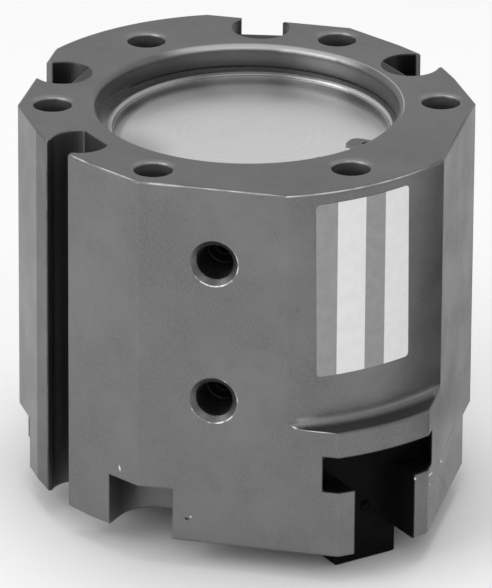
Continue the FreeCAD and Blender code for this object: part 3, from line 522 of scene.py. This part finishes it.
def anodised_material():
    """Hard-anodised aluminium: fine matt grain, faint clouds, bare metal on worn edges, painted shade in
    hollows, bores and slots, and painted highlights on rims and edges.
    """
    s = Shader("hard_anodised")
    clouds = s.spread(s.noise(38, detail=4), 0.3, 0.7)
    mottle = s.spread(s.noise(190, detail=4), 0.45, 0.75, 0.0, 0.40)
    grain = s.noise(2600, detail=2)
    tone = s.blend(clouds, grey(0.145), grey(0.190))
    tone = s.layer(tone, mottle, 0.125)
    tone = s.layer(tone, s.spread(grain, 0.35, 0.65, 0.0, 0.60), 0.205)
    faded = s.spread(s.noise(90, detail=5), 0.3, 0.7, 0.0, 0.26)
    tone = s.layer(tone, s.block(*TOP_FACE), 0.30, faded)
    tone = s.layer(tone, s.block(*DARK_STRIP), 0.075, 0.7)
    # Painted highlight on the shelf fillet, then painted shade on the shelf face
    tone = s.layer(tone, s.arc(*SHELF_FILLET_HIGHLIGHT), 0.26, s.block(*SHELF_HIGHLIGHT_SPAN, soft=2.0))
    tone = s.layer(tone, s.block(*SHELF_FACE_SHADE), 0.04, 0.35)
    # Painted shade in hollows, darker where near walls hide the open side
    tone = s.layer(tone, s.hollow_shade(0.025, 0.32, 0.78), 0.012, 0.45)
    patchy = s.spread(s.noise(120, detail=3), 0.40, 0.70, 0.10, 0.55)
    tone = s.layer(tone, s.edges(0.0005, 0.01, 0.15), 0.45, patchy)
    # Painted shade on the wall of the recess
    tone = s.layer(tone, s.arc(*RECESS_WALL_SHADE, core=0.7), 0.05, 0.5)
    tone = s.layer(tone, port_chamfers(s), 0.06, 0.3)
    flaked = s.spread(s.noise(450, detail=4), 0.44, 0.62, 0.05, 1.0)
    # Bare metal and painted glints on the rims of the air ports
    tone = s.layer(tone, port_rims_and_glints(s), 0.78, flaked)
    # Painted shade inside the sensor grooves
    tone = s.layer(tone, groove_shade_mask(s), 0.012)
    # Painted light in the upper ends of the flange holes, then painted highlights on their far rims
    tone = s.layer(tone, s.marks(hole_wall_light()), 0.28)
    tone = s.layer(tone, hole_rim_highlights(s), 0.60, 0.55)
    # Painted highlights, where bare metal shows, on the recess rim and the snap ring's groove
    tone = s.layer(tone, s.largest([s.arc(*line) for line in RECESS_RIM_HIGHLIGHTS]), 0.60)
    # Painted highlight along the near top edges, broken up by noise
    highlight_breakup = s.spread(s.noise(260, detail=3), 0.35, 0.60, 0.45, 1.0)
    top_edge_highlight = s.largest([s.marks(TOP_EDGE_HIGHLIGHTS), s.arc(*DRUM_TOP_EDGE_HIGHLIGHT)])
    tone = s.layer(tone, top_edge_highlight, 0.72, highlight_breakup)
    # Painted shade on the walls of the jaw slot
    tone = s.layer(tone, s.largest([s.block(*corners) for corners in SLOT_WALL_SHADES]), 0.010, 0.8)
    tone = s.layer(tone, s.marks(BRIGHT_NICKS), 0.85)
    # Dark scratches, and painted shade filling the air port bores
    tone = s.layer(tone, s.marks(DARK_NICKS + port_bore_shades()), 0.015)
    s.bump(grain, 0.18, 0.00006, rounding=0.0008)
    rough = s.spread(s.noise(90, detail=3), 0.3, 0.7, 0.32, 0.40)
    return s.finish(tone, rough, metallic=0.9)


def turned_material(name, dark, light, ring_scale, roughness, metallic, left_shade=None, edge_shade=None):
    """Turned metal with faint concentric tool marks about Z, and soft painted shade."""
    s = Shader(name)
    flat = s.vector("MULTIPLY", s.coordinates(), (1, 1, 0))["Vector"]
    rings = s.node("ShaderNodeTexNoise", noise_dimensions="1D")
    s.link(s.vector("LENGTH", flat)["Value"], rings.inputs["W"])
    rings.inputs["Scale"].default_value = ring_scale
    rings.inputs["Detail"].default_value = 4
    tone = s.blend(s.spread(rings.outputs["Fac"], 0.3, 0.7), grey(dark), grey(light))
    tone = s.layer(tone, s.spread(s.noise(60), 0.3, 0.75, 0.0, 0.1), dark * 0.8)
    # Painted shade on the cover: a patch on its left and a band along its edge
    if left_shade is not None:
        shaded_mask = s.largest([s.mark(*left_shade), s.arc(*edge_shade)])
        tone = s.layer(tone, shaded_mask, dark * 0.45, 0.85)
    s.bump(rings.outputs["Fac"], 0.04, 0.00004)
    rough = s.spread(s.noise(120), 0.3, 0.7, roughness - 0.02, roughness + 0.02)
    return s.finish(tone, rough, metallic=metallic)


def steel_material(name, dark, light, worn, roughness, metallic, stretch=None, specular=0.5):
    """Steel with a fine grain, which may be stretched, and brighter worn edges."""
    s = Shader(name)
    grain = s.noise(900, detail=4, stretch=stretch)
    tone = s.blend(s.spread(grain, 0.3, 0.7), grey(dark), grey(light))
    tone = s.layer(tone, s.edges(0.0003), worn)
    s.bump(grain, 0.10, 0.00005)
    rough = s.spread(s.noise(150), 0.3, 0.7, roughness - 0.06, roughness + 0.08)
    return s.finish(tone, rough, metallic=metallic, specular=specular)


def snap_ring_material():
    """Spring steel, bare on top, with painted highlights on the rounded edge and the lugs' walls, and
    painted shade below that edge, on the far side and on the lug tops.
    """
    s = Shader("spring_steel")
    grain = s.noise(900, detail=4)
    tone = s.blend(s.spread(grain, 0.3, 0.7), grey(0.26), grey(0.34))
    # Painted shade on the inner wall and far side, then painted highlights on the rounded edge
    tone = s.layer(tone, s.arc(*RING_INNER_WALL_SHADE, core=0.85), 0.11)
    tone = s.layer(tone, s.arc(*RING_FAR_SIDE_SHADE), 0.20)
    tone = s.layer(tone, s.arc(*RING_RIGHT_EDGE_HIGHLIGHT), 0.65)
    tone = s.layer(tone, s.arc(*RING_LEFT_EDGE_HIGHLIGHT), 0.65, 0.5)
    # Painted shade on the lug tops, and a painted highlight on their walls
    tone = s.layer(tone, s.block(*LUG_TOP_SHADE), 0.17)
    tone = s.layer(tone, s.block(*LUG_WALL_HIGHLIGHT), 0.55)
    s.bump(grain, 0.10, 0.00005)
    rough = s.spread(s.noise(150), 0.3, 0.7, 0.22, 0.30)
    return s.finish(tone, rough, metallic=0.95)


def tinted_material(name, first, second, roughness, metallic=0.0):
    """Moulded or sintered stuff with a fine speckle of two colours."""
    s = Shader(name)
    speckle = s.noise(700, detail=5, roughness=0.7)
    tone = s.blend(s.spread(speckle, 0.35, 0.65), first, second)
    s.bump(speckle, 0.15, 0.00005)
    rough = s.spread(s.noise(200), 0.3, 0.7, roughness - 0.06, roughness + 0.08)
    return s.finish(tone, rough, metallic=metallic)


def label_material():
    """Printed foil in plain grey and white stripes."""
    s = Shader("label_foil")
    parts = s.node("ShaderNodeSeparateXYZ")
    s.link(s.coordinates(), parts.inputs[0])
    angle = s.math("ARCTAN2", parts.outputs["X"], s.math("MULTIPLY", parts.outputs["Y"], -1.0))
    stripes = []
    for low, high in LABEL_GREYS:
        past_low = s.math("GREATER_THAN", angle, math.radians(low))
        before_high = s.math("LESS_THAN", angle, math.radians(high))
        stripes.append(s.math("MULTIPLY", past_low, before_high))
    fibre = s.spread(s.noise(420, detail=3), 0.3, 0.7)
    white = s.blend(fibre, grey(0.74), grey(0.78))
    ink = s.blend(fibre, grey(0.26), grey(0.29))
    rough = s.spread(s.noise(60), 0.3, 0.7, 0.32, 0.42)
    return s.finish(s.blend(s.largest(stripes), white, ink), rough)


def dress_nodes():
    """One material for each kind of CAD piece."""
    looks = [
        (tinted_material("nitrile_rubber", grey(0.012), grey(0.022), roughness=0.62),
         ["cover_o_ring", "rod_seal", "piston_seal_upper", "piston_seal_lower",
          "upper_bumper_ring", "lower_bumper_ring", "rod_o_ring"]),
        (steel_material("black_screws", dark=0.018, light=0.030, worn=0.10, roughness=0.38, metallic=0.6),
         ["bottom_cover_screws", "piston_screw", "piston_screw_washer"]),
        (steel_material("black_oxide_steel", dark=0.002, light=0.004, worn=0.02, roughness=0.45,
                        metallic=0.0, stretch=(1, 6, 1), specular=0.05),
         ["base_jaw_front", "base_jaw_rear"]),
        (anodised_material(),
         ["housing"]),
        (turned_material("bare_aluminium", dark=0.89, light=0.92, ring_scale=900, roughness=0.32,
                         metallic=1.0, left_shade=COVER_LEFT_SHADE, edge_shade=COVER_EDGE_SHADE),
         ["cylinder_cover"]),
        (turned_material("turned_aluminium", dark=0.50, light=0.60, ring_scale=700, roughness=0.36,
                         metallic=0.9),
         ["piston"]),
        (snap_ring_material(),
         ["cover_retaining_ring"]),
        (steel_material("zinc_sheet", dark=0.40, light=0.48, worn=0.62, roughness=0.36, metallic=0.8),
         ["bottom_cover_plate"]),
        (steel_material("ground_steel", dark=0.26, light=0.34, worn=0.50, roughness=0.28, metallic=0.95,
                        stretch=(1, 1, 8)),
         ["wedge_hook"]),
        (tinted_material("sintered_bronze", *BRONZE, roughness=0.45, metallic=0.8),
         ["rod_bush"]),
        (tinted_material("guide_plastic", *PLASTIC, roughness=0.5),
         ["piston_guide_ring"]),
        (tinted_material("bonded_ferrite", grey(0.035), grey(0.06), roughness=0.5, metallic=0.3),
         ["piston_magnet"]),
    ]
    for material, names in looks:
        for name in names:
            data = frame["nodes"][name].data
            data.materials.clear()
            data.materials.append(material)


def add_mesh(name, mesh, material):
    """Object with one material from a mesh in memory, which is freed."""
    data = bpy.data.meshes.new(name)
    mesh.to_mesh(data)
    mesh.free()
    data.materials.append(material)
    made = bpy.data.objects.new(name, data)
    bpy.context.scene.collection.objects.link(made)
    return made


def add_thread(name, middle, axis, radius, length, body, material):
    """Helical ridge inside a tapped bore, tapered at both ends."""
    pitch = PITCHES[radius]
    half_width = pitch * THREAD_FLANK
    axes = Vector(axis).to_track_quat("Z", "Y").to_matrix()
    count = int(length / pitch * THREAD_STEPS)
    mesh = bmesh.new()
    sections = []
    for step in range(count + 1):
        turn = 2 * math.pi * step / THREAD_STEPS
        rise = -length / 2 + pitch * step / THREAD_STEPS
        crest = THREAD_DEPTH * min(1.0, step / THREAD_STEPS, (count - step) / THREAD_STEPS)
        section = []
        for reach, shift in [(radius, -half_width), (radius - crest, 0.0), (radius, half_width)]:
            place = Vector((reach * math.cos(turn), reach * math.sin(turn), rise + shift)) * MM
            section.append(mesh.verts.new(Vector(middle) + axes @ place))
        sections.append(section)
    for before, after in zip(sections, sections[1:]):
        for corner in range(3):
            following = (corner + 1) % 3
            mesh.faces.new((before[corner], before[following], after[following], after[corner]))
    bmesh.ops.recalc_face_normals(mesh, faces=mesh.faces[:])
    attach(add_mesh(name, mesh, material), body)


def add_threads():
    """Threads of the air ports, the jaw ends and the finger holes."""
    housing_look = frame["nodes"]["housing"].data.materials[0]
    jaw_look = frame["nodes"]["base_jaw_front"].data.materials[0]
    for port in mounts("air_port"):
        size = port["dims"]
        place = (port["pos_m"], port["axis"], size["r_mm"], size["length_mm"])
        add_thread(port["name"] + "_thread", *place, "housing", housing_look)
    for tap in mounts("jaw_end_tap"):
        size = tap["dims"]
        body = "jaw_" + tap["name"].split("_")[0]
        place = (tap["pos_m"], tap["axis"], size["r_mm"], size["length_mm"] - END_TAP_CLEARANCE)
        add_thread(tap["name"] + "_thread", *place, body, jaw_look)
    for pattern in mounts("finger_threads"):
        size = pattern["dims"]
        body = "jaw_" + pattern["name"].split("_")[0]
        for number, side in enumerate((-0.5, 0.5), start=1):
            shift = Vector((0, size["spacing_y_mm"] * side, FINGER_THREAD / 2)) * MM
            middle = Vector(pattern["pos_m"]) + shift
            place = (middle, pattern["axis"], size["hole_r_mm"], FINGER_THREAD)
            add_thread(f"{pattern['name']}_{number}", *place, body, jaw_look)


def rounded_outline(left, right, bottom, top, corner, steps):
    """Points of a rectangle with round corners, anticlockwise."""
    points = []
    centres = [(right - corner, bottom + corner), (right - corner, top - corner),
               (left + corner, top - corner), (left + corner, bottom + corner)]
    for quarter, (x, y) in enumerate(centres, start=-1):
        for step in range(steps + 1):
            turn = math.radians(90 * (quarter + step / steps))
            points.append((x + corner * math.cos(turn), y + corner * math.sin(turn)))
    return points


def add_label():
    """Thin foil bent round the drum, cut from a flat rounded rectangle."""
    arc = math.radians(1) * DRUM_RADIUS
    left, right = LABEL_LEFT * arc, LABEL_RIGHT * arc
    outline = rounded_outline(left, right, LABEL_BOTTOM, LABEL_TOP, LABEL_CORNER, LABEL_CORNER_STEPS)
    mesh = bmesh.new()
    mesh.faces.new([mesh.verts.new((x, 0, z)) for x, z in outline])
    for column in range(1, LABEL_COLUMNS):
        x = left + (right - left) * column / LABEL_COLUMNS
        bmesh.ops.bisect_plane(mesh, geom=mesh.verts[:] + mesh.edges[:] + mesh.faces[:],
                               plane_co=(x, 0, 0), plane_no=(1, 0, 0))
    middle = Vector(((left + right) / 2, 0, (LABEL_TOP + LABEL_BOTTOM) / 2))
    bmesh.ops.rotate(mesh, cent=middle, verts=mesh.verts[:],
                     matrix=Matrix.Rotation(math.radians(-LABEL_TILT), 3, "Y"))
    radius = DRUM_RADIUS + LABEL_GAP
    for vert in mesh.verts:
        turn = vert.co.x / DRUM_RADIUS
        vert.co = Vector((radius * math.sin(turn), -radius * math.cos(turn), vert.co.z)) * MM
    bmesh.ops.recalc_face_normals(mesh, faces=mesh.faces[:])
    if mesh.faces[:][0].normal.y > 0:
        bmesh.ops.reverse_faces(mesh, faces=mesh.faces[:])
    made = bmesh.ops.extrude_face_region(mesh, geom=mesh.faces[:])
    for item in made["geom"]:
        if isinstance(item, bmesh.types.BMVert):
            outward = Vector((item.co.x, item.co.y, 0)).normalized()
            item.co += outward * LABEL_THICKNESS * MM
    bmesh.ops.recalc_face_normals(mesh, faces=mesh.faces[:])
    label = add_mesh("drum_label", mesh, label_material())
    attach(label, "housing")


def add_sheet(name, reach, material):
    """Flat square of the studio, which reaches as far from its middle to each side."""
    mesh = bmesh.new()
    bmesh.ops.create_grid(mesh, x_segments=1, y_segments=1, size=reach)
    sheet = add_mesh(name, mesh, material)
    return sheet


def add_floor():
    s = Shader("pale_floor")
    pale, dull = FLOOR_TONES
    tone = s.blend(s.spread(s.noise(3), 0.3, 0.7), grey(pale), grey(dull))
    floor = add_sheet("floor", FLOOR_REACH, s.finish(tone, 0.55, specular=0.2))
    floor.location.z = cad_box[0].z


def add_cards():
    """Cards, unit squares scaled to size, that shade the reflections on the part's right side."""
    for name, place, size, turn, tone in CARDS:
        card = add_sheet(name, 0.5, Shader(name).finish(grey(tone), 0.9))
        card.location = (*place, cad_box[0].z + CARD_LIFT)
        card.rotation_euler.z = math.radians(turn)
        card.scale = (*size, 1)
        card.visible_camera = False
        card.visible_diffuse = False
        card.visible_shadow = False


add_camera()
add_lamps()
add_world()
add_floor()
dress_nodes()
add_threads()
add_label()
add_cards()
bpy.context.scene.view_settings.view_transform = "Standard"
